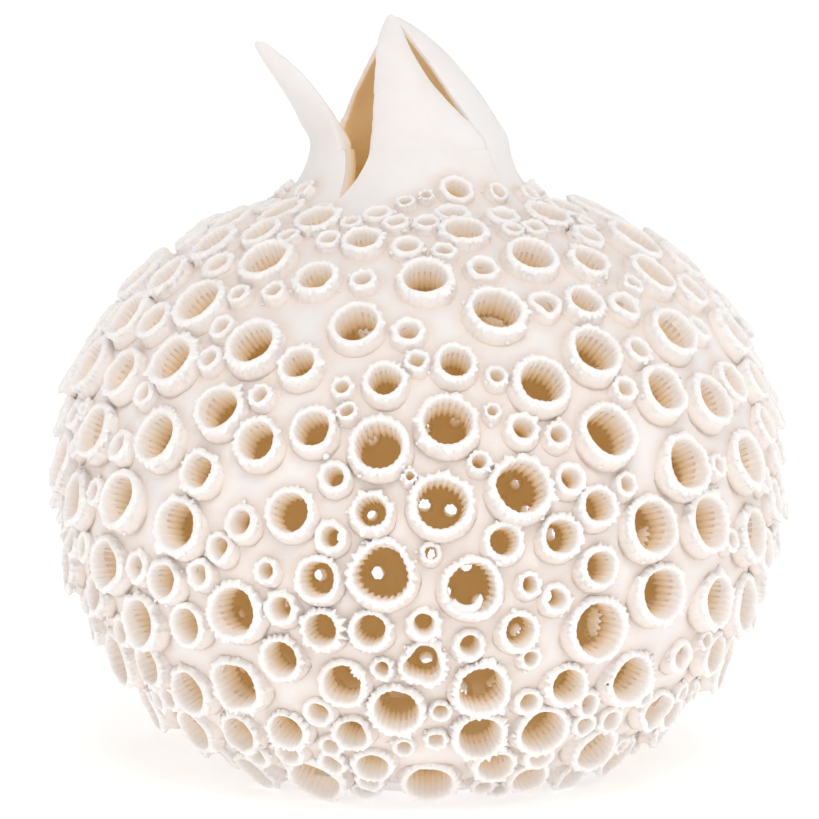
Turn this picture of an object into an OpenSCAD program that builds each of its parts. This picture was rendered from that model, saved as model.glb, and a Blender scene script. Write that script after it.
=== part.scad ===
// Flower frog: a hollow pomegranate of unglazed porcelain. Two thin half shells stand on a flat
// foot and carry several hundred short clay collars, each pierced as a stem socket, and a short
// neck with a crown of four sepals. Millimetres. The origin is the centre of the foot on the
// table, +Z is up and the front of the crown faces -Y.

/* [Body] */
// Width of the body across its collars
body_w = 120; // [117:0.5:123]
// Height at which the bowl is widest
bowl_h = 47; // [45:0.5:49]
// Height at which the dome starts to turn in
dome_h = 50; // [49:0.5:52]
// Radius of the bowl's side, seen from the side
bowl_arc = 49; // [48:0.5:50]
// Radius of the dome's side, seen from the side
dome_arc = 43; // [42:0.5:44]
// Thickness of the shell's wall
wall = 3; // [2.6:0.1:3.4]
// Height of the joint between the bowl and the dome
seam_h = 48.5; // [47:0.5:50]

/* [Foot] */
// Thickness of the flat slab that closes the bowl
foot_t = 4; // [3:0.5:5]
// Radius of the flat that rests on the table
foot_r = 23; // [20:0.5:24]

/* [Crown] */
// Outer radius of the neck under the sepals
neck_r = 16.2; // [15:0.1:18]
// How far the crown's axis lies to the right of the body's
crown_x = -1.5; // [-2:0.1:0]
// Height at which the dome's shoulder meets the neck
shoulder_h = 98; // [97:0.5:100]
// Height at which the sepals leave the neck
sepal_h = 102; // [101:0.5:104]
// Thickness of a sepal at its root
sepal_root_t = 2.4; // [1.8:0.1:2.8]
// Thickness of a sepal at its tip
sepal_tip_t = 1.2; // [1:0.1:1.8]

/* [Collars] */
// Height of the point that every socket's axis passes through
focus_h = 33; // [30:0.5:36]
// How far a large collar stands out of the shell
stand = 2.2; // [1.6:0.1:2.8]
// Smallest gap between two collars
gap = 0.2; // [0.1:0.05:0.6]
// Largest outer radius of the finer collars low on the back
fine_out = 2.5; // [2:0.1:4.6]
// Number that sets how the collars between the main sockets are strewn
strew_seed = 11; // [1:1:99]

/* [Hidden] */

$fn = 72;
// Radius and facets of the ball that a collar's root is hollowed to
seat_r = 64;
seat_fn = 240;
// A collar is turned so that its round faces start and end at its highest and lowest point
collar_turn = 90;
clay = [0.98, 0.97, 0.95];
clay_shade = [0.93, 0.90, 0.87];
big = 400;

// The shell's outer face is a bowl arc, a short upright band, a dome arc and a hollow fillet that
// runs up to the neck. Each arc's centre is [distance from the axis, height].
shell_r = body_w / 2 - stand;
bowl_c = [shell_r - bowl_arc, bowl_h];
dome_c = [shell_r - dome_arc, dome_h];
fillet_c_h = shoulder_h + 6;
fillet_rise = fillet_c_h - dome_h;
fillet_in = neck_r - dome_c[0];
fillet_arc = (fillet_in * fillet_in + fillet_rise * fillet_rise - dome_arc * dome_arc)
    / (2 * (dome_arc - fillet_in));
fillet_c = [neck_r + fillet_arc, fillet_c_h];
// Where the dome's arc, drawn in by an inset, runs into the fillet
function shoulder_start(inset) =
    dome_c + (fillet_c - dome_c) * (dome_arc - inset) / norm(fillet_c - dome_c);
fillet_start = shoulder_start(0);

// The slit between the left and the front sepal
slit_az = -31;
slit_h = 94.5;
slit_w = 4;
// The chamfer around the foot's edge
foot_chamfer = 0.8;
// How far a bore runs inwards from the shell's face, and a collar's root below it before it is cut
bore_in = 2.5 * wall;
collar_root = 2;
// A sepal's facets along and across, how far up its curves it runs, and how much its edges thin
leaf_rows = 14;
leaf_columns = 8;
leaf_end = 0.97;
leaf_edge_thinning = 0.35;

// Sizes of the collars by outer radius: the clay around a bore is a little thicker on a large one.
LARGE = 0;
MEDIUM = 1;
SMALL = 2;
class_from = [4.3, 3.1, 0];
class_clay = [1.45, 1.25, 1.2];
class_stand = [stand, stand - 0.2, stand - 0.6];
// Bands of the body by the elevation of the collars, seen from the focus
BASE = 0;
LOWER = 1;
MIDDLE = 2;
UPPER = 3;
SHOULDER = 4;
band_el = [-90, -9, 12, 30, 48, 90];
lowest_collar_z = 1;
highest_collar_z = 93;

function size_class(out) = out >= class_from[LARGE] ? LARGE : out >= class_from[MEDIUM] ? MEDIUM : SMALL;
function bore_r(out) = size_class(out) == SMALL ? out * 0.48 : out - class_clay[size_class(out)];
function collar_stand(out) = class_stand[size_class(out)];

// Distances along a ray from the focus, at elevation el, to where it crosses an arc
function half_b(el, c) = cos(el) * c[0] + sin(el) * (c[1] - focus_h);
function off(c) = c[0] * c[0] + (c[1] - focus_h) * (c[1] - focus_h);
function far_hit(el, c, r) = half_b(el, c) + sqrt(half_b(el, c) ^ 2 - off(c) + r * r);
function near_hit(el, c, r) = half_b(el, c) - sqrt(max(0, half_b(el, c) ^ 2 - off(c) + r * r));
function reach(el) =
    let (bowl = far_hit(el, bowl_c, bowl_arc))
    focus_h + bowl * sin(el) <= bowl_h ? bowl :
    let (band = shell_r / cos(el))
    focus_h + band * sin(el) <= dome_h ? band :
    let (dome = far_hit(el, dome_c, dome_arc))
    dome * cos(el) >= fillet_start[0] ? dome : near_hit(el, fillet_c, fillet_arc);

// The direction straight out of the shell's face at a point on it
function face_normal(p) =
    let (
        r = norm([p[0], p[1]]),
        c = p[2] < bowl_h ? bowl_c : p[2] > dome_h ? dome_c : [0, p[2]],
        n = [r - c[0], p[2] - c[1]] / norm([r - c[0], p[2] - c[1]])
    )
    [p[0] / r * n[0], p[1] / r * n[0], n[1]];

// A socket is [azimuth, elevation, outer radius, centre on the shell]. Azimuth 0 is the front, and
// it grows towards +X.
function aim(az, el) = [sin(az) * cos(el), -cos(az) * cos(el), sin(el)];
function socket(az, el, out) = [az, el, out, [0, 0, focus_h] + reach(el) * aim(az, el)];

// The sockets placed by hand: azimuth, elevation and outer radius
MAIN = [
    // the two rows of open sockets in the middle of the front
    [4, 28, 4.6], [-6, 25, 4.6], [3, 17.5, 4.8], [14.5, 19.5, 4.9], [-5.5, 8, 5.1], [7.5, 6, 4.7],
    [-16, 27, 3.6], [-15, 7, 3.6], [-19, 16, 3.9], [-7, 16.5, 3.2], [12, 12.4, 3.1],
    [-12.5, 21, 2.5], [-13, 13, 2.5], [8.5, 23, 1.8], [-1.5, 21.2, 1.1], [1.5, 11, 1.6],
    [15.3, 27.2, 2.6], [10.8, 29.5, 1.3], [-11, 29.5, 1.6],
    // below them
    [-7.5, -0.5, 3.3], [0.5, -6, 3.6], [-12.5, -10, 3.9], [-4, -15, 4.4], [10, -11, 4.6],
    [11, -21.5, 4.4], [-12.5, -21, 3.2], [3, -22.5, 1.9], [15, -1, 3.2], [7.5, -3, 2.5],
    [0.5, 0.5, 2.6], [3.5, -15.5, 1.8],
    // above them
    [1, 49, 4.3], [13.5, 43.5, 4.6], [25, 53, 4.3], [11.5, 59.5, 3.7], [-14, 57, 3.3],
    [11, 66, 3], [-11, 41.5, 4.1], [5.5, 36, 3.3], [-5.5, 33.5, 3.3], [19, 33, 4.5],
    [-21, 49, 3.5], [-7, 62.5, 2.2], [2, 62.5, 2.2], [-3, 56, 2.6],
    // the left side
    [-35, 52, 4.5], [-44, 35, 4.6], [-32, 29, 4.1], [-43, 24.5, 4.6], [-60, 24, 4.7], [-51, 15.5, 4.7],
    [-38, 13, 4.6], [-56, 5.5, 4.6], [-66, 14, 4.5], [-50, -3, 4.6], [-32, -12, 4.7], [-44, -15, 4.3],
    // the right side
    [29, 26, 4.8], [36, 13, 4.9], [26.5, 16.5, 3.3], [28, -1.5, 5.1], [27, 8, 3.3], [39, 3, 4.9],
    [48, 12.5, 4.9], [37.5, -11.5, 4.6], [23, -21, 4.6], [29.5, 37, 4.6], [49, 39, 4.6],
    [41, 31, 4.4], [52, 29, 4.4], [60, 20, 4.7]
];

// Low on the back, the sockets are finer: azimuths beyond the first number and elevations between
// the other two.
FINE_BACK = [152, -34, 14];
function thin_out(az, el, out) =
    abs(az) > FINE_BACK[0] && el > FINE_BACK[1] && el < FINE_BACK[2] ? min(out, fine_out) : out;

// The strewn sockets: each throw at random is kept where it clears all the collars before it. The
// large ones are thrown first, so that the small ones fill what is left.
THROWS = [[4.6, 0.5, 400], [3.6, 0.3, 1500], [2.6, 0.3, 2500], [1.95, 0.25, 3500]];

function clears(s, kept) =
    s[3][2] - s[2] * cos(s[1]) > lowest_collar_z
    && s[3][2] + s[2] * cos(s[1]) < highest_collar_z
    && len([for (k = kept) if (norm(k[3] - s[3]) < k[2] + s[2] + gap) 1]) == 0;
function throw(draws, n, r, spread, kept, i = 0) =
    i == n ? kept :
    let (
        az = 180 * draws[3 * i + 1],
        el = asin(-0.72 + 0.835 * (draws[3 * i] + 1)),
        s = socket(az, el, thin_out(az, el, r + spread * draws[3 * i + 2]))
    )
    throw(draws, n, r, spread, clears(s, kept) ? concat(kept, [s]) : kept, i + 1);
function strew(kept, k = 0) =
    k == len(THROWS) ? kept :
    let (t = THROWS[k], draws = rands(-1, 1, 3 * t[2], strew_seed + k))
    strew(throw(draws, t[2], t[0], t[1], kept), k + 1);

SOCKETS = strew([for (m = MAIN) socket(m[0], m[1], m[2])]);

module at_socket(s) {
    translate(s[3]) rotate([0, 0, s[0]]) rotate([90 - s[1], 0, 0]) children();
}

// Half section of everything inside the shell's outer face, from one height to another, drawn in
// by an inset
module body_section(from_h, to_h, inset) {
    intersection() {
        union() {
            intersection() {
                translate(bowl_c) circle(r = bowl_arc - inset);
                translate([bowl_c[0], bowl_c[1] - big]) square(big);
            }
            translate([0, bowl_h - bowl_arc + inset]) square([bowl_c[0], bowl_arc - inset]);
            translate([0, bowl_h]) square([shell_r - inset, dome_h - bowl_h]);
            intersection() {
                translate(dome_c) circle(r = dome_arc - inset);
                translate(dome_c) square(big);
            }
            translate([0, dome_h]) square([dome_c[0], dome_arc - inset]);
        }
        translate([0, from_h]) square([big, to_h - from_h]);
    }
}

// Half section of the hollow fillet between the dome and the neck, up to a height. The crown leans
// a little to the left, so this part has an axis of its own.
module shoulder_section(to_h, inset) {
    start = shoulder_start(inset);
    difference() {
        translate([0, start[1]]) square([start[0], to_h - start[1]]);
        translate(fillet_c) circle(r = fillet_arc + inset);
    }
}

module spin_on_crown_axis() {
    translate([crown_x, 0, 0]) rotate_extrude() children();
}

// The narrow V between the left and the front sepal, which runs down through the neck
module crown_slit() {
    translate([crown_x, 0, 0]) rotate([90, 0, slit_az]) linear_extrude(neck_r * 2)
        polygon([[0, slit_h], [slit_w / 2, sepal_h + 1], [-slit_w / 2, sepal_h + 1]]);
}

module bores(from_h, to_h) {
    for (s = SOCKETS)
        if (s[3][2] + s[2] > from_h && s[3][2] - s[2] < to_h)
            at_socket(s) translate([0, 0, -bore_in]) cylinder(r = bore_r(s[2]), h = bore_in + stand);
}

module foot() {
    color(clay) rotate_extrude() polygon([
        [0, 0], [foot_r - foot_chamfer, 0], [foot_r, foot_chamfer],
        [bowl_c[0] + sqrt(bowl_arc ^ 2 - (bowl_h - foot_t) ^ 2), foot_t], [0, foot_t]
    ]);
}

module lower_shell() {
    color(clay) difference() {
        rotate_extrude() difference() {
            body_section(foot_t, seam_h, 0);
            body_section(0, seam_h + 1, wall);
        }
        bores(0, seam_h);
    }
}

module upper_shell() {
    color(clay) difference() {
        union() {
            rotate_extrude() body_section(seam_h, big, 0);
            spin_on_crown_axis() shoulder_section(shoulder_h, 0);
        }
        rotate_extrude() body_section(seam_h - 1, big, wall);
        spin_on_crown_axis() shoulder_section(shoulder_h + 1, wall);
        crown_slit();
        bores(seam_h, big);
    }
}

module neck() {
    color(clay) difference() {
        spin_on_crown_axis() difference() {
            intersection() {
                shoulder_section(sepal_h, 0);
                translate([0, shoulder_h]) square([big, sepal_h - shoulder_h]);
            }
            shoulder_section(sepal_h + 1, wall);
        }
        crown_slit();
    }
}

// A point on a curve with four control points, and the curve's direction there
function bezier(p, t) =
    p[0] * (1 - t) ^ 3 + 3 * p[1] * t * (1 - t) ^ 2 + 3 * p[2] * t * t * (1 - t) + p[3] * t ^ 3;
function unit(v) = v / norm(v);

// A sepal is a leaf of clay between three curves that run from its root to its tip: its left edge,
// its middle and its right edge. u runs across it from -1 to 1, and v from the root to the tip.
function leaf(rails, u, v) =
    bezier(rails[0], v) * u * (u - 1) / 2 + bezier(rails[1], v) * (1 - u * u)
    + bezier(rails[2], v) * u * (u + 1) / 2;
function leaf_normal(rails, u, v) =
    let (n = cross(leaf(rails, u + 0.01, v) - leaf(rails, u - 0.01, v),
                   leaf(rails, u, v + 0.01) - leaf(rails, u, v - 0.01)))
    unit(v == 0 ? [n[0], n[1], 0] : n);
function leaf_half_t(u, v) =
    (sepal_root_t + (sepal_tip_t - sepal_root_t) * v) / 2 * (1 - leaf_edge_thinning * u ^ 4);

module sepal(rails) {
    rows = [for (i = [0:leaf_rows]) leaf_end * i / leaf_rows];
    across = [for (j = [0:leaf_columns]) 2 * j / leaf_columns - 1];
    ring = 2 * (leaf_columns + 1);
    points = [
        for (v = rows) each [
            for (u = across) leaf(rails, u, v) + leaf_normal(rails, u, v) * leaf_half_t(u, v),
            for (k = [leaf_columns:-1:0])
                leaf(rails, across[k], v) - leaf_normal(rails, across[k], v) * leaf_half_t(across[k], v)
        ]
    ];
    walls = [
        for (i = [0:leaf_rows - 1], k = [0:ring - 1])
            let (a = i * ring + k, b = i * ring + (k + 1) % ring)
            each [[a, a + ring, b], [b, a + ring, b + ring]]
    ];
    root = [for (k = [0:leaf_columns - 1]) each [
        [k, k + 1, ring - 1 - k], [k + 1, ring - 2 - k, ring - 1 - k]
    ]];
    last = leaf_rows * ring;
    tip = [for (k = [0:leaf_columns - 1]) each [
        [last + k, last + ring - 1 - k, last + k + 1],
        [last + k + 1, last + ring - 1 - k, last + ring - 2 - k]
    ]];
    polyhedron(points, concat(walls, root, tip), convexity = 4);
}

module sepal_front() {
    color(clay) sepal([
        [[-8, -13.6, sepal_h], [-5.8, -13.5, 109], [-8.8, -8, 118], [-4.5, -3, 123.4]],
        [[0.9, -14.8, sepal_h], [0.5, -15.5, 109], [-2.5, -10, 118], [-4.5, -3, 123.4]],
        [[9.3, -10.6, sepal_h], [6.8, -12.8, 109.5], [0.5, -9, 112], [-4.5, -3, 123.4]]
    ]);
}

module sepal_left() {
    color(clay) sepal([
        [[-14.7, 7, sepal_h], [-14.5, 7, 107.5], [-18.5, 3, 114.5], [-25.7, -2.5, 119.7]],
        [[-16.8, -1, sepal_h], [-17.6, -1, 108], [-22.8, -2, 113.5], [-25.9, -2.5, 119.5]],
        [[-11.7, -11, sepal_h], [-12.5, -10.5, 107.5], [-17, -6, 114.5], [-25.5, -2.5, 119.9]]
    ]);
}

module sepal_right() {
    color(clay) sepal([
        [[10.6, -8.8, sepal_h], [10, -8.3, 109], [2.5, -4.5, 117], [-3.4, -0.5, 123.5]],
        [[13.4, 0, sepal_h], [12.6, 0.5, 110], [4.5, 2, 120], [-3.4, -0.4, 123.5]],
        [[10.3, 9, sepal_h], [9.5, 10, 109], [3, 6, 117], [-3.4, -0.3, 123.5]]
    ]);
}

module sepal_back() {
    color(clay_shade) sepal([
        [[9, 10.8, sepal_h], [7.5, 13, 109], [0.5, 9.5, 115], [-5, 4.5, 121.5]],
        [[-1.5, 14.9, sepal_h], [-1, 16, 110], [-3, 11, 117], [-5, 4.5, 121.5]],
        [[-13, 9.6, sepal_h], [-12.3, 9.5, 108], [-9.5, 7.5, 114], [-5, 4.5, 121.5]]
    ]);
}

// A collar stands on the shell: a short tube with a rounded lip. Its root is hollowed to a ball a
// little flatter than the shell, so that it touches the shell around its bore and never cuts into it.
module collar(out) {
    lip = (out - bore_r(out)) / 2;
    rise = collar_stand(out) - lip;
    rotate_extrude() {
        translate([bore_r(out), -collar_root]) square([2 * lip, collar_root + rise]);
        translate([bore_r(out) + lip, rise]) circle(r = lip);
    }
}

module collars(size, band) {
    for (s = SOCKETS)
        if (size_class(s[2]) == size && s[1] >= band_el[band] && s[1] < band_el[band + 1])
            difference() {
                at_socket(s) rotate([0, 0, collar_turn]) collar(s[2]);
                translate(s[3] - seat_r * face_normal(s[3])) sphere(r = seat_r, $fn = seat_fn);
            }
}

module large_collars_base() { color(clay) collars(LARGE, BASE); }
module large_collars_lower() { color(clay) collars(LARGE, LOWER); }
module large_collars_middle() { color(clay) collars(LARGE, MIDDLE); }
module large_collars_upper() { color(clay) collars(LARGE, UPPER); }
module large_collars_shoulder() { color(clay) collars(LARGE, SHOULDER); }
module medium_collars_base() { color(clay) collars(MEDIUM, BASE); }
module medium_collars_lower() { color(clay) collars(MEDIUM, LOWER); }
module medium_collars_middle() { color(clay) collars(MEDIUM, MIDDLE); }
module medium_collars_upper() { color(clay) collars(MEDIUM, UPPER); }
module medium_collars_shoulder() { color(clay) collars(MEDIUM, SHOULDER); }
module small_collars_base() { color(clay_shade) collars(SMALL, BASE); }
module small_collars_lower() { color(clay_shade) collars(SMALL, LOWER); }
module small_collars_middle() { color(clay_shade) collars(SMALL, MIDDLE); }
module small_collars_upper() { color(clay_shade) collars(SMALL, UPPER); }
module small_collars_shoulder() { color(clay_shade) collars(SMALL, SHOULDER); }

foot();
lower_shell();
upper_shell();
neck();
sepal_front();
sepal_left();
sepal_right();
sepal_back();
large_collars_base();
large_collars_lower();
large_collars_middle();
large_collars_upper();
large_collars_shoulder();
medium_collars_base();
medium_collars_lower();
medium_collars_middle();
medium_collars_upper();
medium_collars_shoulder();
small_collars_base();
small_collars_lower();
small_collars_middle();
small_collars_upper();
small_collars_shoulder();
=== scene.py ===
"""Flower frog: a hollow porcelain pomegranate, looks only.

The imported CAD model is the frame. The shells and the neck are shown by one thin clay body, each
collar by a torn and fluted ring of clay in its own place, and each sepal by a finer leaf.
Lengths in this script are millimetres until a mesh is made, which is in metres.
"""
import math

import bmesh
import bpy
import numpy as np
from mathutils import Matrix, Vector, noise


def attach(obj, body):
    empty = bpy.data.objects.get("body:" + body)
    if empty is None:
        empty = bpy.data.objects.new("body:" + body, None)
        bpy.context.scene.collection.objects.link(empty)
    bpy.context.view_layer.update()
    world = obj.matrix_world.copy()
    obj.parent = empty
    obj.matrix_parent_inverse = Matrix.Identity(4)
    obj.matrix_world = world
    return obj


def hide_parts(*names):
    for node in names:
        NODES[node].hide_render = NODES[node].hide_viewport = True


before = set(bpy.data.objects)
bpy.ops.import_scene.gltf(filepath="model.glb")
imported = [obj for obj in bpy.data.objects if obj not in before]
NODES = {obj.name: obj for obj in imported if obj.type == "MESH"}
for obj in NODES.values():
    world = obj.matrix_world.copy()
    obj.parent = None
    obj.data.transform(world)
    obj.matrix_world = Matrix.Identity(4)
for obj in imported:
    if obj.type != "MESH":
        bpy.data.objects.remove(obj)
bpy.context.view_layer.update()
MM = 0.001

# The body's driving dimensions, as in the CAD
SHELL_R = 57.8
BOWL_C, BOWL_ARC = np.array([8.8, 47.0]), 49.0
DOME_C, DOME_ARC = np.array([14.8, 50.0]), 43.0
FILLET_C, FILLET_ARC = np.array([29.048, 104.0]), 12.848
FILLET_START_Z = 91.58
NECK_R = 16.2
CROWN_X = -1.5
SEPAL_Z = 102.0
WALL = 3.0
FOOT_T = 4.0
FOCUS = np.array([0.0, 0.0, 33.0])
SLIT_AZ, SLIT_Z, SLIT_W = math.radians(-31.0), 94.5, 4.6

BODY_COLUMNS = 288
# The holes in the visual shell are a little wider than the bores, and the collars' sleeves line them
HOLE_EASE, HOLE_SIDES, HOLE_IN, HOLE_OUT = 0.25, 28, 5.4, 1.6
# Collars from these outer radii up are large and medium, as in the CAD
LARGE_OUT, MEDIUM_OUT = 4.3, 3.1
TABLE_GAP = 0.15
# Point attributes: how deep a point lies below the outer face, and how close to a collar's root, which
# sets the painted contact shade there
DEPTH, PAINTED_SHADE = "depth", "painted_shade"


# ---------------------------------------------------------------- materials

def node(tree, kind, **values):
    n = tree.nodes.new(kind)
    for key, value in values.items():
        setattr(n, key, value)
    return n


def noise_texture(tree, place, scale, detail):
    n = node(tree, "ShaderNodeTexNoise")
    n.inputs["Scale"].default_value = scale
    n.inputs["Detail"].default_value = detail
    tree.links.new(place.outputs["Object"], n.inputs["Vector"])
    return n.outputs["Fac"]


def remap(tree, value, low, high, to_low=0.0, to_high=1.0):
    n = node(tree, "ShaderNodeMapRange")
    n.inputs["From Min"].default_value = low
    n.inputs["From Max"].default_value = high
    n.inputs["To Min"].default_value = to_low
    n.inputs["To Max"].default_value = to_high
    tree.links.new(value, n.inputs["Value"])
    return n.outputs["Result"]


def tinted(tree, base, colour, factor):
    """The base, a colour or a socket, turned towards a colour by a factor socket."""
    n = node(tree, "ShaderNodeMix", data_type="RGBA")
    if isinstance(base, tuple):
        n.inputs["A"].default_value = (*base, 1)
    else:
        tree.links.new(base, n.inputs["A"])
    n.inputs["B"].default_value = (*colour, 1)
    tree.links.new(factor, n.inputs["Factor"])
    return n.outputs["Result"]


def colour_ramp(tree, value, *stops, interpolation="LINEAR"):
    n = node(tree, "ShaderNodeValToRGB")
    ramp = n.color_ramp
    ramp.interpolation = interpolation
    first, last = ramp.elements
    first.position, first.color = stops[0][0], (*stops[0][1], 1)
    last.position, last.color = stops[-1][0], (*stops[-1][1], 1)
    for position, colour in stops[1:-1]:
        ramp.elements.new(position).color = (*colour, 1)
    tree.links.new(value, n.inputs["Fac"])
    return n.outputs["Color"]


# Linear colours: the fired clay open and clouded, then painted shade against the collars' roots, and
# painted warm shade in the bores and in the cavity
WHITE = (0.885, 0.857, 0.846)
SHADE = (0.85, 0.795, 0.77)
PAINTED_CREVICE_SHADE = (0.84, 0.735, 0.665)
PAINTED_BORE_SHADE = (0.91, 0.77, 0.59)
PAINTED_CAVITY_SHADE = (0.84, 0.67, 0.41)
RING_WHITE = (0.95, 0.93, 0.915)
RING_SHADE = (0.925, 0.885, 0.865)
IRON_SPECK = (0.16, 0.09, 0.05)
BLACK, FULL = (0, 0, 0), (1, 1, 1)
# Light that comes through the thin wall warms the bores and the cavity's inner face
BORE_GLOW = (0.11, 0.075, 0.042)
CAVITY_GLOW = (0.06, 0.034, 0.006)


def bisque(name, clay, shade, grain):
    """Unglazed porcelain, with painted shade against the collars and painted warm shade in the bores and
    the cavity. The depth attribute runs from 0 on the outside to 1 in the cavity.
    """
    mat = bpy.data.materials.new(name)
    mat.use_nodes = True
    tree = mat.node_tree
    tree.nodes.clear()
    out = node(tree, "ShaderNodeOutputMaterial")
    bsdf = node(tree, "ShaderNodeBsdfPrincipled")
    link = tree.links.new
    link(bsdf.outputs["BSDF"], out.inputs["Surface"])
    bsdf.inputs["Roughness"].default_value = 0.62
    bsdf.inputs["Specular IOR Level"].default_value = 0.3
    bsdf.inputs["Subsurface Weight"].default_value = 0.12
    bsdf.inputs["Subsurface Radius"].default_value = (1.0, 0.62, 0.42)
    bsdf.inputs["Subsurface Scale"].default_value = 0.0012
    bsdf.inputs["Emission Strength"].default_value = 1.0

    place = node(tree, "ShaderNodeTexCoord")
    depth = node(tree, "ShaderNodeAttribute", attribute_name=DEPTH).outputs["Fac"]
    painted_shade_mask = node(tree, "ShaderNodeAttribute", attribute_name=PAINTED_SHADE).outputs["Fac"]

    cloud = remap(tree, noise_texture(tree, place, 90.0, 4.0), 0.42, 0.72)
    colour = tinted(tree, clay, shade, cloud)
    # painted contact shade, darker and warmer where the clay meets a collar
    colour = tinted(tree, colour, PAINTED_CREVICE_SHADE, painted_shade_mask)
    # painted warm shade, stronger deeper in the bores and in the cavity, for the light that bounces
    # round inside the hollow
    painted_bore_shade_mask = colour_ramp(tree, depth, (0.12, BLACK), (0.75, FULL), interpolation="EASE")
    colour = tinted(tree, colour, PAINTED_BORE_SHADE, painted_bore_shade_mask)
    colour = tinted(tree, colour, PAINTED_CAVITY_SHADE, remap(tree, depth, 0.7, 1.0))

    # a few dark iron specks
    dots = node(tree, "ShaderNodeTexVoronoi", feature="F1")
    dots.inputs["Scale"].default_value = 62.0
    dots.inputs["Randomness"].default_value = 1.0
    link(place.outputs["Object"], dots.inputs["Vector"])
    speck = remap(tree, dots.outputs["Distance"], 0.012, 0.02, 1.0, 0.0)
    link(tinted(tree, colour, IRON_SPECK, speck), bsdf.inputs["Base Color"])

    glow = colour_ramp(tree, depth, (0.05, BLACK), (0.45, BORE_GLOW), (1.0, CAVITY_GLOW))
    link(glow, bsdf.inputs["Emission Color"])

    # the fine grain lies over the smears that fingers leave
    both = node(tree, "ShaderNodeMath", operation="MULTIPLY_ADD")
    both.inputs[1].default_value = 0.45
    link(noise_texture(tree, place, 2400.0, 3.0), both.inputs[0])
    link(noise_texture(tree, place, 260.0, 3.0), both.inputs[2])
    bump = node(tree, "ShaderNodeBump")
    bump.inputs["Strength"].default_value = grain
    bump.inputs["Distance"].default_value = 0.0003
    link(both.outputs["Value"], bump.inputs["Height"])
    link(bump.outputs["Normal"], bsdf.inputs["Normal"])
    return mat


body_bisque = bisque("body_bisque", WHITE, SHADE, 0.5)
collar_bisque = bisque("collar_bisque", RING_WHITE, RING_SHADE, 0.6)
sepal_bisque = bisque("sepal_bisque", WHITE, SHADE, 0.5)


# ---------------------------------------------------------------- meshes

def add_values(mesh, name, values):
    attribute = mesh.attributes.new(name, "FLOAT", "POINT")
    attribute.data.foreach_set("value", np.asarray(values, dtype=np.float32))


def read_points(mesh):
    """The mesh's points in millimetres."""
    co = np.zeros(len(mesh.vertices) * 3, np.float32)
    mesh.vertices.foreach_get("co", co)
    return co.reshape(-1, 3)


def face_outwards(mesh):
    bm = bmesh.new()
    bm.from_mesh(mesh)
    bmesh.ops.recalc_face_normals(bm, faces=bm.faces)
    bm.to_mesh(mesh)
    bm.free()


def make_mesh(name, points, faces, material, depth=None, painted_shade=None):
    mesh = bpy.data.meshes.new(name)
    mesh.from_pydata((np.asarray(points) * MM).tolist(), [], faces)
    mesh.validate()
    if depth is not None:
        add_values(mesh, DEPTH, depth)
    if painted_shade is not None:
        add_values(mesh, PAINTED_SHADE, painted_shade)
    mesh.polygons.foreach_set("use_smooth", [True] * len(mesh.polygons))
    mesh.materials.append(material)
    obj = bpy.data.objects.new(name, mesh)
    bpy.context.scene.collection.objects.link(obj)
    return obj


def grid_faces(rows, columns, wrap_rows, start=0):
    """Quads over a grid whose columns close on themselves."""
    i = np.arange(rows if wrap_rows else rows - 1)[:, None]
    j = np.arange(columns)[None, :]
    a = i * columns + j
    b = i * columns + (j + 1) % columns
    c = (i + 1) % rows * columns + (j + 1) % columns
    d = (i + 1) % rows * columns + j
    return (np.stack([a, b, c, d], axis=-1).reshape(-1, 4) + start).tolist()


def settle(obj, slot_name, *nodes):
    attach(obj, "root")
    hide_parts(*nodes)
    return obj


def smoothstep(x):
    x = np.clip(x, 0.0, 1.0)
    return x * x * (3 - 2 * x)


def outer_r(z):
    """Radius of the shell's outer face at a height."""
    if z <= BOWL_C[1]:
        return BOWL_C[0] + math.sqrt(BOWL_ARC ** 2 - (BOWL_C[1] - z) ** 2)
    if z <= DOME_C[1]:
        return SHELL_R
    if z <= FILLET_START_Z:
        return DOME_C[0] + math.sqrt(DOME_ARC ** 2 - (z - DOME_C[1]) ** 2)
    if z < FILLET_C[1]:
        return FILLET_C[0] - math.sqrt(FILLET_ARC ** 2 - (FILLET_C[1] - z) ** 2)
    return NECK_R


def crown_shift(z):
    """The crown's axis leans away from the body's over the shoulder."""
    return CROWN_X * smoothstep((z - 86.0) / 11.0)


# ---------------------------------------------------------------- the body

def body_profile():
    """Points (r, z, depth) round the section of the wall: up the outside, down the inside."""
    outside, inside = [], []
    for a in np.linspace(math.asin((FOOT_T - BOWL_C[1]) / BOWL_ARC), 0, 44):
        outside.append((BOWL_C[0] + BOWL_ARC * math.cos(a), BOWL_C[1] + BOWL_ARC * math.sin(a)))
    top = math.asin((FILLET_START_Z - DOME_C[1]) / DOME_ARC)
    for a in np.linspace(0, top, 52):
        outside.append((DOME_C[0] + DOME_ARC * math.cos(a), DOME_C[1] + DOME_ARC * math.sin(a)))
    for z in np.linspace(FILLET_START_Z + 0.6, SEPAL_Z, 20):
        outside.append((outer_r(z), z))
    for r, z in outside:
        if z <= BOWL_C[1]:
            c, arc, sign = BOWL_C, BOWL_ARC, -1
        elif z <= FILLET_START_Z:
            c, arc, sign = DOME_C, DOME_ARC, -1
        else:
            c, arc, sign = FILLET_C, FILLET_ARC, 1
        n = (np.array([r, z]) - c) / arc
        inside.append((r + sign * n[0] * WALL, z + sign * n[1] * WALL))
    inside = [p for p in inside if FOOT_T <= p[1] <= SEPAL_Z][::2]
    inside[0] = (inside[0][0] - 0.6, FOOT_T - 0.2)
    inside[-1] = (inside[-1][0], SEPAL_Z)
    return [(*p, 0.0) for p in outside] + [(*p, 1.0) for p in reversed(inside)]


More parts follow.
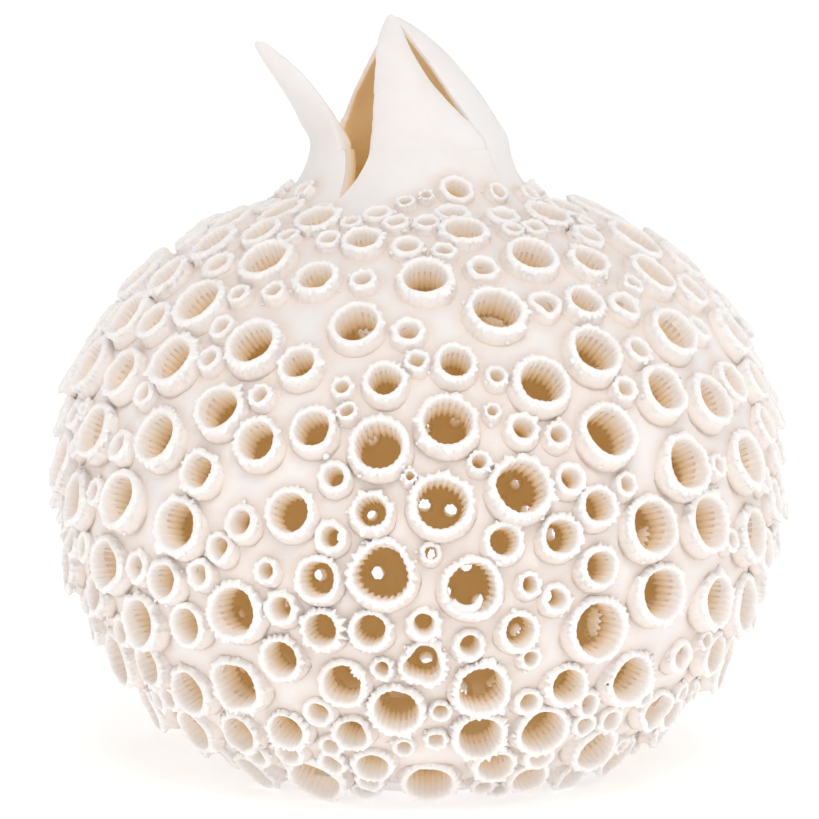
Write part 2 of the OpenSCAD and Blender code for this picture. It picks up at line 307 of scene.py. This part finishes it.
def crease(az, z):
    """The front sepal's edge runs on down the shoulder as a low step over the right one's."""
    edge = math.radians(47) + (SEPAL_Z - z) * math.radians(0.9)
    side = (az - edge) * outer_r(z)
    step = np.where(side < 0, np.exp(-(side / 4.0) ** 2), np.exp(-(side / 0.45) ** 2))
    return 0.55 * step * smoothstep((z - 91.0) / 8.0)


# Between these heights a point may belong to the dome or to the fillet above it
FILLET_TOP_MIX = (90.0, 93.0)


def body_shell():
    """The closed wall, before its holes: slow waves of the hand outside, smooth inside."""
    profile = body_profile()
    az = np.linspace(-math.pi, math.pi, BODY_COLUMNS, endpoint=False)
    points, depth = [], []
    for r, z, d in profile:
        shift = crown_shift(z)
        ring_r = np.full(BODY_COLUMNS, r)
        if d == 0:
            around = [Vector((r * math.sin(a), -r * math.cos(a), z)) for a in az]
            wave = np.array([noise.noise(p / 9.0) * 0.22 + noise.noise(p / 3.0) * 0.07 for p in around])
            ring_r += wave * (1 - smoothstep((z - 92.0) / 8.0)) + crease(az, z)
        points.append(np.stack([ring_r * np.sin(az) + shift, -ring_r * np.cos(az),
                                np.full(BODY_COLUMNS, z)], axis=1))
        depth += [d] * BODY_COLUMNS
    faces = grid_faces(len(profile), BODY_COLUMNS, True)
    return make_mesh("body_shell", np.concatenate(points), faces, body_bisque, depth)


def axes_for(axis):
    """Two axes square to a collar's own: to the right, and up."""
    side = np.cross([0.0, 0.0, 1.0], axis)
    side /= np.linalg.norm(side)
    return side, np.cross(axis, side)


def hole_cutter(sockets):
    """One cylinder for each bore, and the wedge of the slit in the neck."""
    points, faces, start = [], [], 0
    turn = np.linspace(0, 2 * math.pi, HOLE_SIDES, endpoint=False)
    for s in sockets:
        side, up = axes_for(s["axis"])
        r = s["bore"] + HOLE_EASE
        ring = r * (np.cos(turn)[:, None] * side + np.sin(turn)[:, None] * up)
        points.append(s["centre"] - HOLE_IN * s["axis"] + ring)
        points.append(s["centre"] + HOLE_OUT * s["axis"] + ring)
        faces += [[start + k, start + (k + 1) % HOLE_SIDES, start + HOLE_SIDES + (k + 1) % HOLE_SIDES,
                   start + HOLE_SIDES + k] for k in range(HOLE_SIDES)]
        faces.append([start + k for k in reversed(range(HOLE_SIDES))])
        faces.append([start + HOLE_SIDES + k for k in range(HOLE_SIDES)])
        start += 2 * HOLE_SIDES
    # the slit: its sides curve apart towards the sepals
    heights = np.linspace(SLIT_Z, SEPAL_Z + 1, 12)
    half = SLIT_W / 2 * ((heights - SLIT_Z) / (SEPAL_Z - SLIT_Z)) ** 0.8 + 0.12
    lean = -0.9 * (1 - (heights - SLIT_Z) / (SEPAL_Z - SLIT_Z)) ** 2
    outline = [(c + h, z) for c, h, z in zip(lean, half, heights)]
    outline += [(c - h, z) for c, h, z in zip(lean[::-1], half[::-1], heights[::-1])]
    across = np.array([math.cos(SLIT_AZ), math.sin(SLIT_AZ), 0])
    out = np.array([math.sin(SLIT_AZ), -math.cos(SLIT_AZ), 0])
    crown = np.array([CROWN_X, 0, 0])
    n = len(outline)
    for reach in (4.0, 34.0):
        points.append([crown + out * reach + across * x + np.array([0, 0, z]) for x, z in outline])
    faces += [[start + k, start + (k + 1) % n, start + n + (k + 1) % n, start + n + k] for k in range(n)]
    faces.append([start + k for k in reversed(range(n))])
    faces.append([start + n + k for k in range(n)])
    cutter = make_mesh("cutter", np.concatenate(points), faces, body_bisque)
    face_outwards(cutter.data)
    return cutter


def depth_below(x, y, z):
    """0 on the wall's outer face and 1 on its inner one, worked out from a point's place."""
    r = math.hypot(x - float(crown_shift(z)), y)
    in_dome = DOME_ARC - math.hypot(r - DOME_C[0], z - DOME_C[1])
    if z <= BOWL_C[1]:
        gap = BOWL_ARC - math.hypot(r - BOWL_C[0], z - BOWL_C[1])
    elif z <= DOME_C[1]:
        gap = SHELL_R - r
    elif z <= FILLET_TOP_MIX[0]:
        gap = in_dome
    else:
        gap = math.hypot(r - FILLET_C[0], z - FILLET_C[1]) - FILLET_ARC
        if z < FILLET_TOP_MIX[1]:
            gap = min(in_dome, gap)
        gap = min(gap, 3 * WALL)
    return np.clip((gap - 0.35) / (WALL - 0.7), 0, 1)


def painted_shade_near_collars(co, sockets):
    """How much painted contact shade a point takes: 1 against a collar's root, falling to 0 in the open
    clay between the collars.
    """
    centres = np.array([s["centre"] for s in sockets])
    outs = np.array([s["out"] for s in sockets])
    near = np.empty(len(co))
    for k in range(0, len(co), 2000):
        away = np.linalg.norm(co[k:k + 2000, None] - centres, axis=2)
        near[k:k + 2000] = (away - outs).min(axis=1)
    return np.clip(1 - (near - 0.4) / 2.4, 0, 1) ** 1.5


def cut_holes(shell, sockets):
    """Cut every bore and the slit, then give each point its depth and how much painted contact shade it
    takes.
    """
    cutter = hole_cutter(sockets)
    boolean = shell.modifiers.new("holes", "BOOLEAN")
    boolean.operation = "DIFFERENCE"
    boolean.solver = "MANIFOLD"
    boolean.object = cutter
    graph = bpy.context.evaluated_depsgraph_get()
    mesh = bpy.data.meshes.new_from_object(shell.evaluated_get(graph))
    shell.modifiers.clear()
    shell.data = mesh
    bpy.data.objects.remove(cutter)
    co = read_points(mesh) / MM
    if DEPTH in mesh.attributes:
        mesh.attributes.remove(mesh.attributes[DEPTH])
    add_values(mesh, DEPTH, [depth_below(*p) for p in co])
    add_values(mesh, PAINTED_SHADE, painted_shade_near_collars(co, sockets))
    mesh.materials.clear()
    mesh.materials.append(body_bisque)
    mesh.polygons.foreach_set("use_smooth", [True] * len(mesh.polygons))
    mesh.set_sharp_from_angle(angle=math.radians(40))


# ---------------------------------------------------------------- the collars

def read_sockets(node_name):
    """Every collar of a CAD node: its place on the shell, axis, outer and bore radius and stand."""
    mesh = NODES[node_name].data
    co = read_points(mesh).astype(float) / MM
    keys = np.round(co * 200).astype(np.int64)
    _, first, merged = np.unique(keys, axis=0, return_index=True, return_inverse=True)
    merged = merged.reshape(-1)
    parent = np.arange(len(first))

    def root(k):
        while parent[k] != k:
            parent[k] = parent[parent[k]]
            k = parent[k]
        return k

    for polygon in mesh.polygons:
        corners = [root(merged[v]) for v in polygon.vertices]
        for c in corners[1:]:
            parent[root(c)] = root(corners[0])
    groups = {}
    for k in range(len(first)):
        groups.setdefault(root(k), []).append(first[k])
    found = []
    for members in groups.values():
        p = co[members]
        if len(p) < 12:
            continue
        axis = p.mean(axis=0) - FOCUS
        axis /= np.linalg.norm(axis)
        for _ in range(5):
            # seen along its axis a collar is a full circle, so the middle of its extents is its centre
            side, up = axes_for(axis)
            x, y = (p - FOCUS) @ side, (p - FOCUS) @ up
            reach = ((p - FOCUS) @ axis).mean()
            axis = (reach * axis + (x.max() + x.min()) / 2 * side + (y.max() + y.min()) / 2 * up)
            axis /= np.linalg.norm(axis)
        along = (p - FOCUS) @ axis
        away = np.linalg.norm(p - FOCUS - along[:, None] * axis, axis=1)
        found.append({"axis": axis, "top": along.max(), "out": away.max(), "bore": away.min()})
    for s in found:
        s["stand"] = 2.2 if s["out"] >= LARGE_OUT else 2.0 if s["out"] >= MEDIUM_OUT else 1.6
        s["centre"] = FOCUS + (s["top"] - s["stand"]) * s["axis"]
    found.sort(key=lambda s: (round(s["centre"][2], 2), round(s["centre"][0], 2)))
    return found


# Azimuth, height and outer radius of the rings that stand on the hollow curve under the crown
CROWN_RINGS = [
    (21, 95.3, 2.9), (41, 94.6, 1.8), (-3, 93.2, 1.5), (6, 94.2, 1.2),
    (-56, 94.8, 1.7), (-71, 93.6, 2.2), (-92, 94.6, 1.8), (62, 94.0, 2.1),
    (84, 95.0, 1.7), (108, 93.8, 2.3), (133, 94.8, 1.8), (152, 93.8, 2.2),
    (176, 95.0, 2.0), (-160, 93.9, 1.9), (-137, 94.9, 2.2), (-114, 93.8, 1.7),
]


def under_the_crown(others):
    """Small rings set square to the hollow curve, where they clear all the rest."""
    found = []
    for az, z, out in CROWN_RINGS:
        a, r = math.radians(az), outer_r(z)
        n = (FILLET_C - np.array([r, z])) / FILLET_ARC
        centre = np.array([r * math.sin(a) + crown_shift(z), -r * math.cos(a), z])
        axis = np.array([n[0] * math.sin(a), -n[0] * math.cos(a), n[1]])
        if all(np.linalg.norm(centre - s["centre"]) > out + s["out"] - 0.1 for s in others + found):
            found.append({"axis": axis, "centre": centre, "out": out, "bore": out * 0.56, "stand": 1.5})
    return found


def ripple(rng, turn, lowest, highest, size):
    """A closed random wave round a ring."""
    total = np.zeros_like(turn)
    for k in range(lowest, highest + 1):
        total += rng.normal(0, 1 / math.sqrt(k)) * np.cos(k * turn + rng.uniform(0, 2 * math.pi))
    return total * size / math.sqrt(sum(1 / k for k in range(lowest, highest + 1)))


# Columns, flutes and how deep the flutes are, for large, medium and small collars
RING_MAKE = {"large": (120, 22, 0.19), "medium": (90, 18, 0.12), "small": (40, 0, 0.0)}
# How much painted contact shade each row from the root up takes
ROOT_PAINTED_SHADE = (1.0, 0.9, 0.65, 0.25)
LIP_STEPS = 9


def collar_rows(out, bore, stand, small):
    """The section of a ring, from its root up over the lip, down the bore and back behind the wall.

    Each row has a radius and a height, then how much of the wander, fray, flute, nick and height
    waves it takes, and its depth.
    """
    lip = (out - bore) / 2
    rows = [
        (out + 0.75, -0.75, 0.4, 0, 0, 0, 0, 0.0),
        (out + 0.42, -0.12, 0.6, 0.3, 0, 0, 0, 0.0),
        (out + 0.13, 0.22, 0.8, 0.5, 0, 0, 0.1, 0.0),
        (out - 0.05, 0.62, 1, 0.25, 0, 0, 0.3, 0.0),
        (out - 0.04, stand - lip - 0.15, 1, 0.6, 0, 0, 0.8, 0.0),
    ]
    for a in np.linspace(0, math.pi, LIP_STEPS):
        # round outside, and a longer slope like a funnel's into the bore
        inwards = a > math.pi / 2
        rows.append((bore + lip + (0.66 if inwards else 1.0) * lip * math.cos(a),
                     stand - (1.7 if inwards else 1.0) * lip * (1 - math.sin(a)), 1,
                     max(0.0, math.cos(a)), 0.5 * max(0.0, -math.cos(a)),
                     0.6 * math.sin(a) ** 2 + 0.4, 1, 0.09 * max(0.0, a - 1.7)))
    down = stand - 1.7 * lip
    floor = -WALL - (0.5 if small else 0.75)
    for t, f in ((0.12, 0.8), (0.24, 1), (0.4, 1.1), (0.6, 1.15), (0.8, 1.15)):
        rows.append((bore + 0.34 * lip * (1 - t) ** 3 + 0.05, down + (floor - down) * t,
                     1 - 0.5 * t, 0, f, 0.4 * (1 - t), max(0.0, 0.8 - 2 * t), 0.13 + 0.72 * t))
    return rows + [
        (bore - 0.03, floor, 0.4, 0, 1.6, 0.9, 0, 0.92),
        (bore + 0.36, floor - 0.12, 0.3, 0, 0.6, 0, 0, 1.0),
        (bore + 0.6, floor + 0.9, 0.2, 0, 0, 0, 0, 1.0),
        (bore + 0.55, -0.9, 0.2, 0, 0, 0, 0, 0.5),
    ]


def frayed_edge(rng, turn, torn, small):
    """Fine teeth round the lip, with short rags that stand out here and there."""
    finest = len(turn) // 3
    frayed = ripple(rng, turn, 6, finest, 0.27 if torn else 0.15) * (0.7 if small else 1.0)
    rag = np.maximum(0, ripple(rng, turn, len(turn) // 6, finest, 0.5 if torn else 0.34))
    return frayed + rag * (0.6 if small else 1.0) * np.clip(0.5 + ripple(rng, turn, 1, 3, 0.8), 0, 1)


def tears(rng, turn):
    """One to three places where the edge was pulled outwards."""
    pulled = np.zeros_like(turn)
    for _ in range(rng.integers(1, 4)):
        at = rng.uniform(0, 2 * math.pi)
        wide = rng.uniform(0.06, 0.2)
        away = np.abs((turn - at + math.pi) % (2 * math.pi) - math.pi)
        pulled += rng.uniform(0.3, 0.75) * np.exp(-(away / wide) ** 2)
    return pulled


def collar(s, rng):
    """Points, depth and painted shade values of one ring of clay, and its faces."""
    out, bore, stand = s["out"], s["bore"], s["stand"]
    small = out < MEDIUM_OUT
    size = "large" if out >= LARGE_OUT else "small" if small else "medium"
    n, flutes, flute_depth = RING_MAKE[size]
    turn = np.linspace(0, 2 * math.pi, n, endpoint=False)
    torn = rng.uniform() < 0.45
    squash = 0.075 * out if rng.uniform() < 0.16 else 0.022 * out
    wander = ripple(rng, turn, 2, 4, squash)
    thick = ripple(rng, turn, 1, 5, 0.045 * (out - bore))
    high = ripple(rng, turn, 1, 3, 0.11) + ripple(rng, turn, 4, 9, 0.05)
    frayed = frayed_edge(rng, turn, torn, small)
    nick = ripple(rng, turn, 6, n // 3, 0.1)
    if torn and not small:
        frayed += tears(rng, turn)
    flute, scallop = np.zeros(n), np.zeros(n)
    if flutes:
        flute = np.cos(flutes * turn + rng.uniform(0, 6)) * flute_depth
        scallop = np.cos(flutes * turn) * 0.22
    scallop = scallop + ripple(rng, turn, 3, 9, 0.12)

    side, up = axes_for(s["axis"])
    radial = np.cos(turn)[:, None] * side + np.sin(turn)[:, None] * up
    rows = collar_rows(out, bore, stand, small)
    points, depth = [], []
    for r, h, w, fray, f, nk, hw, d in rows:
        share = (r - bore) / (out - bore) * 2 - 1
        ring = r + wander * w + thick * share * min(1.0, w) + frayed * fray + flute * f + nick * nk * 0.6
        if d == 0:
            ring = ring + ripple(rng, turn, 5, n // 3, 0.05)
        level = h + high * hw + nick * nk * hw * 0.5
        if d > 0.9:
            level = level + scallop
        points.append(s["centre"] + ring[:, None] * radial + level[:, None] * s["axis"])
        depth += [d] * n
    painted_shade = np.zeros(len(depth))
    painted_shade[:n * len(ROOT_PAINTED_SHADE)] = np.repeat(ROOT_PAINTED_SHADE, n)
    points = np.concatenate(points)
    points[:, 2] = np.maximum(points[:, 2], TABLE_GAP)
    return points, depth, painted_shade.tolist(), grid_faces(len(rows), n, True)


BLOB = bmesh.new()
bmesh.ops.create_icosphere(BLOB, subdivisions=2, radius=1.0)
BLOB_POINTS = np.array([v.co for v in BLOB.verts])
BLOB_FACES = [[v.index for v in f.verts] for f in BLOB.faces]
BLOB.free()


def crumb(s, rng):
    """A torn scrap of clay, stuck to a collar's outer edge or to the shell beside it."""
    side, up = axes_for(s["axis"])
    a = rng.uniform(0, 2 * math.pi)
    on_lip = rng.uniform() < 0.5
    away = s["out"] + (0.1 if on_lip else rng.uniform(0.3, 0.7))
    height = rng.uniform(0.4, 0.8) * s["stand"] if on_lip else -0.15 + rng.uniform(0, 0.25)
    size = rng.uniform(0.2, 0.55) * np.array([1, rng.uniform(0.6, 1.2), rng.uniform(0.5, 1)])
    lumps = np.array([1 + 0.55 * noise.noise(Vector(p) * 1.7 + Vector((a * 7, away, 0)))
                      for p in BLOB_POINTS])
    local = BLOB_POINTS * size * lumps[:, None]
    out = math.cos(a) * side + math.sin(a) * up
    along = np.cross(s["axis"], out)
    place = s["centre"] + away * out + height * s["axis"]
    return place + local[:, :1] * out + local[:, 1:2] * along + local[:, 2:] * s["axis"]


def curl(s):
    """The one big tear in front: a sliver of the lip that has come away and curls into the bore."""
    side, up = axes_for(s["axis"])
    turn = np.linspace(0, 2 * math.pi, 10, endpoint=False)
    rings = []
    for t in np.linspace(0, 1, 18):
        a = math.radians(-150 + 110 * t)
        out = math.cos(a) * side + math.sin(a) * up
        middle = (s["bore"] + 0.8 - 2.5 * t ** 1.5) * out + (1.85 - 0.2 * t) * s["axis"]
        wide, thick = 0.95 * (1 - t) ** 0.42 + 0.05, 0.4 * (1 - t) ** 0.7 + 0.08
        rings.append(s["centre"] + middle + wide * np.cos(turn)[:, None] * out
                     + thick * np.sin(turn)[:, None] * s["axis"])
    faces = grid_faces(len(rings), len(turn), False)
    faces.append(list(range(len(turn)))[::-1])
    faces.append([(len(rings) - 1) * len(turn) + k for k in range(len(turn))])
    return np.concatenate(rings), faces


TORN_AZ, TORN_EL = math.radians(7.5), math.radians(6)
TORN_AXIS = np.array([math.sin(TORN_AZ) * math.cos(TORN_EL), -math.cos(TORN_AZ) * math.cos(TORN_EL),
                      math.sin(TORN_EL)])


def collar_piece(node_name, sockets, seed):
    rng = np.random.default_rng(seed)
    points, depth, painted_shade, faces, start = [], [], [], [], 0
    for s in sockets:
        p, d, c, f = collar(s, rng)
        points.append(p)
        depth += d
        painted_shade += c
        faces += [[a + start for a in quad] for quad in f]
        start += len(p)
        for _ in range(rng.choice([0, 1, 2, 4], p=[0.35, 0.3, 0.2, 0.15])):
            p = crumb(s, rng)
            if p[:, 2].min() < TABLE_GAP:
                continue
            points.append(p)
            depth += [0.0] * len(p)
            # the crumbs take a little of the painted contact shade
            painted_shade += [0.2] * len(p)
            faces += [[a + start for a in tri] for tri in BLOB_FACES]
            start += len(p)
        if s["axis"] @ TORN_AXIS > 0.9998 and s["out"] > LARGE_OUT:
            p, f = curl(s)
            points.append(p)
            depth += [0.0] * len(p)
            painted_shade += [0.0] * len(p)
            faces += [[a + start for a in polygon] for polygon in f]
            start += len(p)
    obj = make_mesh(node_name + "_clay", np.concatenate(points), faces, collar_bisque, depth,
                    painted_shade)
    return settle(obj, "collar_bisque", node_name)


# ---------------------------------------------------------------- the sepals

def bezier(p, t):
    p = [np.array(q, float) for q in p]
    return (p[0] * (1 - t) ** 3 + 3 * p[1] * t * (1 - t) ** 2 + 3 * p[2] * t * t * (1 - t)
            + p[3] * t ** 3)


def leaf(rails, u, v):
    return (bezier(rails[0], v) * u * (u - 1) / 2 + bezier(rails[1], v) * (1 - u * u)
            + bezier(rails[2], v) * u * (u + 1) / 2)


def leaf_normal(rails, u, v):
    n = np.cross(leaf(rails, u + 0.01, v) - leaf(rails, u - 0.01, v),
                 leaf(rails, u, v + 0.01) - leaf(rails, u, v - 0.01))
    return n / np.linalg.norm(n)


SEPAL_RAILS = {
    "sepal_front": [
        [[-8.0, -14.2, 102], [-5.8, -13.9, 109], [-8.8, -8, 118], [-4.5, -3, 123.6]],
        [[1.2, -14.8, 102], [-0.3, -15.8, 109], [-3.4, -10, 118], [-4.5, -3, 123.8]],
        [[10.6, -9.6, 102], [7.6, -12.2, 107.8], [-1.2, -9.2, 111.4], [-3.9, -3, 123.6]]],
    "sepal_left": [
        [[-14.7, 7, 102], [-15.2, 7, 107.5], [-19.2, 3, 114.5], [-26.4, -2.5, 119.7]],
        [[-16.8, -1, 102], [-18.3, -1, 108], [-23.5, -2, 113.5], [-26.6, -2.5, 119.5]],
        [[-11.7, -11, 102], [-12.9, -10.5, 107.5], [-17.7, -6, 114.5], [-26.2, -2.5, 119.9]]],
    "sepal_right": [
        [[10.0, -9.4, 102], [6.8, -9.8, 108], [1.3, -5.8, 116.5], [-4.6, -1.0, 123.3]],
        [[13.2, 0, 102], [11.2, 0.5, 110], [3.0, 2, 120], [-4.6, -0.9, 123.3]],
        [[10.2, 9, 102], [8.6, 10, 109], [2, 6, 117], [-4.6, -0.8, 123.3]]],
    "sepal_back": [
        [[9.6, 10.0, 102], [11.5, 12, 109], [6.5, 8.5, 117], [-4, 3.5, 122.3]],
        [[-1.5, 14.9, 102], [-1, 16, 110], [-3, 11, 117], [-5, 4.5, 121.5]],
        [[-14.0, 8.2, 102], [-12.3, 9.5, 108], [-9.5, 7.5, 114], [-5, 4.5, 121.5]]],
}
# How torn each leaf's edges are
NIBBLE = {"sepal_front": 0.05, "sepal_left": 0.012, "sepal_right": 0.02, "sepal_back": 0.02}
# Across the leaf: u, and how far through its thickness, from +1 outside to -1 inside
LEAF_EDGE = [(0.985, 0.86), (1.0, 0.45), (1.0, -0.45), (0.985, -0.86)]
LEAF_COLUMNS, LEAF_ROWS = 26, 64
LEAF_END = 0.985
LEAF_TIP = [0.968, 0.976, 0.984, 0.991, 0.996, 0.999, 1.0]


def leaf_ring():
    flat = np.linspace(-0.965, 0.965, LEAF_COLUMNS)
    return ([(u, 1.0) for u in flat] + LEAF_EDGE + [(u, -1.0) for u in flat[::-1]]
            + [(-u, -s) for u, s in LEAF_EDGE])


def sepal(name, seed):
    rails = SEPAL_RAILS[name]
    ring = leaf_ring()
    rng = np.random.default_rng(seed)
    phase = rng.uniform(0, 6, 2)
    points, depth = [], []
    rows = np.linspace(0, 1, LEAF_ROWS - len(LEAF_TIP)) ** 0.9 * 0.96
    for v in np.concatenate([rows, LEAF_TIP]) * LEAF_END:
        half = (1.42 - 0.72 * smoothstep(v / 0.5)) * (1 - 0.22 * v)
        # the last of the leaf closes in a rounded tip
        close = math.sqrt(max(0.02, 1 - max(0.0, (v / LEAF_END - 0.96) / 0.04) ** 2))
        half *= close
        for u, s in ring:
            u *= close
            nibble = noise.noise(Vector((11 * v, 3 * np.sign(u), phase[0])))
            nibble += 0.5 * noise.noise(Vector((31 * v, 3 * np.sign(u), phase[1])))
            wave = 1 + NIBBLE[name] * nibble * abs(u) ** 3 * smoothstep(v / 0.15)
            at = leaf(rails, u * wave, v)
            n = leaf_normal(rails, u, min(max(v, 0.02), 0.97))
            p = at + n * s * half * (1 - 0.25 * u ** 4)
            p = p + n * 0.1 * noise.noise(Vector(at) / 5.0)
            # the foot of the leaf runs into the neck's two faces
            hold = 1 - smoothstep((p[2] - SEPAL_Z) / 4.5)
            az = math.atan2(p[0] - CROWN_X, -p[1])
            r = math.hypot(p[0] - CROWN_X, p[1])
            z = p[2] - 1.6 * (1 - smoothstep(v / 0.05))
            neck = outer_r(z) - 0.5 * WALL + s * 0.5 * WALL - (0.03 if z < SEPAL_Z else 0)
            r += (neck - r) * hold
            points.append([CROWN_X + r * math.sin(az), -r * math.cos(az), z])
            # the leaf's edge and inner face take the painted warm shade, as the bores and the cavity do
            depth.append(0.0 if s > 0.3 else 0.35 if s > -0.6 else 1.0 - 0.25 * v)
    count = len(ring)
    faces = grid_faces(LEAF_ROWS, count, False)
    faces.append(list(range(count)))
    faces.append([LEAF_ROWS * count - 1 - k for k in range(count)])
    obj = make_mesh(name + "_leaf", points, faces, sepal_bisque, depth)
    face_outwards(obj.data)
    obj.data.set_sharp_from_angle(angle=math.radians(60))
    return settle(obj, "sepal_bisque", name)


# ---------------------------------------------------------------- the foot

def foot():
    """The slab under the body, its underside a little hollow where it was pressed on the board."""
    profile = [(0.0, 0.25), (8, 0.22), (16, 0.12), (19.5, 0.0), (22.2, 0.0), (22.8, 0.25), (23.4, 0.9),
               (26.5, 1.9), (30.2, 3.1), (32.4, 4.15), (30.0, 4.4), (20, 4.0), (8, 3.9), (0.0, 3.9)]
    az = np.linspace(0, 2 * math.pi, 144, endpoint=False)
    rings = []
    for r, z in profile[1:-1]:
        wave = np.array([noise.noise(Vector((r * math.sin(a), r * math.cos(a), z)) / 6) for a in az])
        ring_r = r + 0.15 * wave * (r < 31)
        rings.append(np.stack([ring_r * np.sin(az), -ring_r * np.cos(az), z + 0.06 * np.abs(wave)],
                              axis=1))
    points = np.concatenate(rings)
    faces = grid_faces(len(rings), len(az), False)
    low, high = len(points), len(points) + 1
    points = np.concatenate([points, [[0, 0, profile[0][1]], [0, 0, profile[-1][1]]]])
    n = len(az)
    last = (len(rings) - 1) * n
    faces += [[low, (k + 1) % n, k] for k in range(n)]
    faces += [[high, last + k, last + (k + 1) % n] for k in range(n)]
    # the top face under the cavity takes the painted warm shade of the cavity
    inside = (points[:, 2] > FOOT_T - 0.15) & (np.hypot(points[:, 0], points[:, 1]) < 30.5)
    depth = inside.astype(float)
    obj = make_mesh("foot_slab", points, faces, body_bisque, depth)
    return settle(obj, "body_bisque", "foot")


# ---------------------------------------------------------------- build

COLLAR_NODES = sorted(n for n in NODES if "_collars_" in n)
by_node = {name: read_sockets(name) for name in COLLAR_NODES}
all_sockets = [s for name in COLLAR_NODES for s in by_node[name]]
extra = under_the_crown(all_sockets)
by_node["small_collars_shoulder"] += extra
all_sockets += extra
for seed, name in enumerate(COLLAR_NODES):
    collar_piece(name, by_node[name], 100 + seed)
shell = body_shell()
cut_holes(shell, all_sockets)
settle(shell, "body_bisque", "lower_shell", "upper_shell", "neck")
foot()
for seed, name in enumerate(SEPAL_RAILS):
    sepal(name, 200 + seed)


# ---------------------------------------------------------------- stage, light and camera

SWEEP_FLOOR, SWEEP_BEND, SWEEP_TOP = 1300, 400, 600


def stage_material():
    mat = bpy.data.materials.new("white_sweep")
    mat.use_nodes = True
    bsdf = mat.node_tree.nodes["Principled BSDF"]
    bsdf.inputs["Base Color"].default_value = (0.93, 0.93, 0.93, 1)
    bsdf.inputs["Roughness"].default_value = 1.0
    bsdf.inputs["Specular IOR Level"].default_value = 0.0
    bsdf.inputs["Emission Color"].default_value = (1, 1, 1, 1)
    bsdf.inputs["Emission Strength"].default_value = 0.38
    return mat


def sweep():
    """A plain pale floor that curves up all round, so every side of the object has it behind."""
    bend = [(SWEEP_FLOOR + SWEEP_BEND * math.sin(a), SWEEP_BEND * (1 - math.cos(a)))
            for a in np.linspace(0, math.pi / 2, 14)]
    section = [(40, 0), (200, 0)] + bend + [(SWEEP_FLOOR + SWEEP_BEND, SWEEP_TOP)]
    turn = np.linspace(0, 2 * math.pi, 96, endpoint=False)
    points = [(0, 0, 0)] + [(r * math.cos(a), r * math.sin(a), z) for r, z in section for a in turn]
    faces = grid_faces(len(section), len(turn), False, 1)
    faces += [[0, 1 + (k + 1) % len(turn), 1 + k] for k in range(len(turn))]
    obj = make_mesh("sweep", points, faces, stage_material())


def area_light(name, place, energy, size, aim=(0, 0, 0.06)):
    light = bpy.data.lights.new(name, "AREA")
    light.energy, light.shape, light.size = energy, "DISK", size
    obj = bpy.data.objects.new(name, light)
    bpy.context.scene.collection.objects.link(obj)
    obj.location = place
    obj.rotation_euler = (Vector(aim) - Vector(place)).to_track_quat("-Z", "Y").to_euler()


sweep()
area_light("key", (0.08, -0.8, 1.0), 4.0, 0.6)
area_light("fill", (0.9, -0.6, 0.45), 0.4, 0.8)
area_light("top", (0.1, 0.2, 1.1), 1.2, 0.8)
world = bpy.data.worlds.new("studio")
world.use_nodes = True
world.node_tree.nodes["Background"].inputs["Color"].default_value = (1, 0.975, 0.955, 1)
world.node_tree.nodes["Background"].inputs["Strength"].default_value = 0.5
bpy.context.scene.world = world
bpy.context.scene.view_settings.view_transform = "Standard"

CAMERA_AIM = Vector((-0.0016, 0, 0.059))
CAMERA_TILT = math.radians(6.3)
CAMERA_AWAY = 0.5
camera = bpy.data.cameras.new("camera")
camera.sensor_width = 36
camera.lens = 133.2
camera_object = bpy.data.objects.new("camera", camera)
bpy.context.scene.collection.objects.link(camera_object)
back = Vector((0, -math.cos(CAMERA_TILT), math.sin(CAMERA_TILT)))
camera_object.location = CAMERA_AIM + back * CAMERA_AWAY
camera_object.rotation_euler = (-back).to_track_quat("-Z", "Y").to_euler()
bpy.context.scene.camera = camera_object
